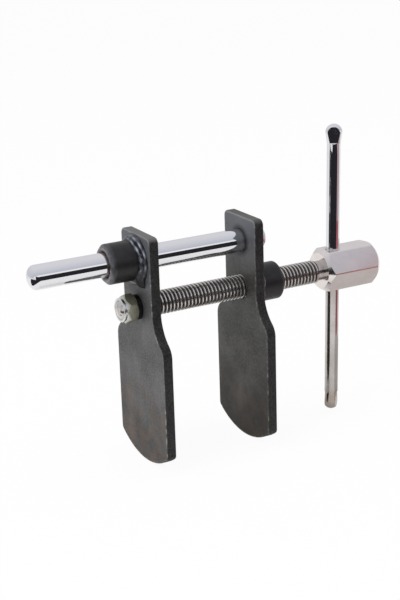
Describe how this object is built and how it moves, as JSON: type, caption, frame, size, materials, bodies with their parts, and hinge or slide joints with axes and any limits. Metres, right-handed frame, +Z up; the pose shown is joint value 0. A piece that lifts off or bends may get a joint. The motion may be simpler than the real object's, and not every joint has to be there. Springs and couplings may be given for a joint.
{
  "type": "brake caliper piston tool",
  "caption": "Hand spreader for brake caliper pistons: flat pressing plates on a guide rod, driven apart by a lead screw with a hex head and a sliding tommy bar.",
  "frame": {"origin": "centre of the fixed plate's pressing pad, on its outer face", "axes": "+X along the screw towards the hex head, +Z up the plates from the pads to the guide rod, +Y across the plates"},
  "size_m": [0.1933, 0.05, 0.1566],
  "materials": {
    "plate_phosphate_light": "phosphated steel, satin",
    "plate_phosphate_dark": "phosphated steel, satin",
    "blackened_steel": "turned and blackened",
    "weld_steel": "blackened weld bead",
    "chrome_bar": "polished chrome plate",
    "screw_steel": "rolled thread, oiled",
    "washer_black": "black oxide",
    "zinc_nut": "zinc plated",
    "nylon": "natural nylon",
    "satin_nickel": "turned, satin nickel plate"
  },
  "bodies": {
    "fixed_jaw": {"fixed_plate": "plate_phosphate_dark", "threaded_boss": "blackened_steel", "boss_weld": "weld_steel", "guide_rod": "chrome_bar", "rod_weld": "weld_steel"},
    "sliding_jaw": {"sliding_plate": "plate_phosphate_light", "guide_collar": "blackened_steel", "collar_weld": "weld_steel"},
    "spindle": {"lead_screw": "screw_steel", "thrust_washer": "washer_black", "lock_nut": "zinc_nut", "nut_insert": "nylon", "hex_head": "satin_nickel"},
    "tommy_bar": {"tommy_bar": "chrome_bar"}
  },
  "joints": [
    {"name": "plate_slide", "type": "slide", "parent": "fixed_jaw", "child": "sliding_jaw", "axis": [1, 0, 0], "range_m": [-0.0265, 0.0524]},
    {"name": "spindle_turn", "type": "hinge", "parent": "sliding_jaw", "child": "spindle", "pos_m": [-0.0579, 0, 0.04648], "axis": [1, 0, 0], "range_deg": [-4760, 9425]},
    {"name": "bar_slide", "type": "slide", "parent": "spindle", "child": "tommy_bar", "axis": [0.01, -0.007, 0.9999], "range_m": [-0.0546, 0.0574]}
  ],
  "couplings": [
    {"joint": "plate_slide", "follows": "spindle_turn", "m_per_rad": 0.00031831}
  ]
}
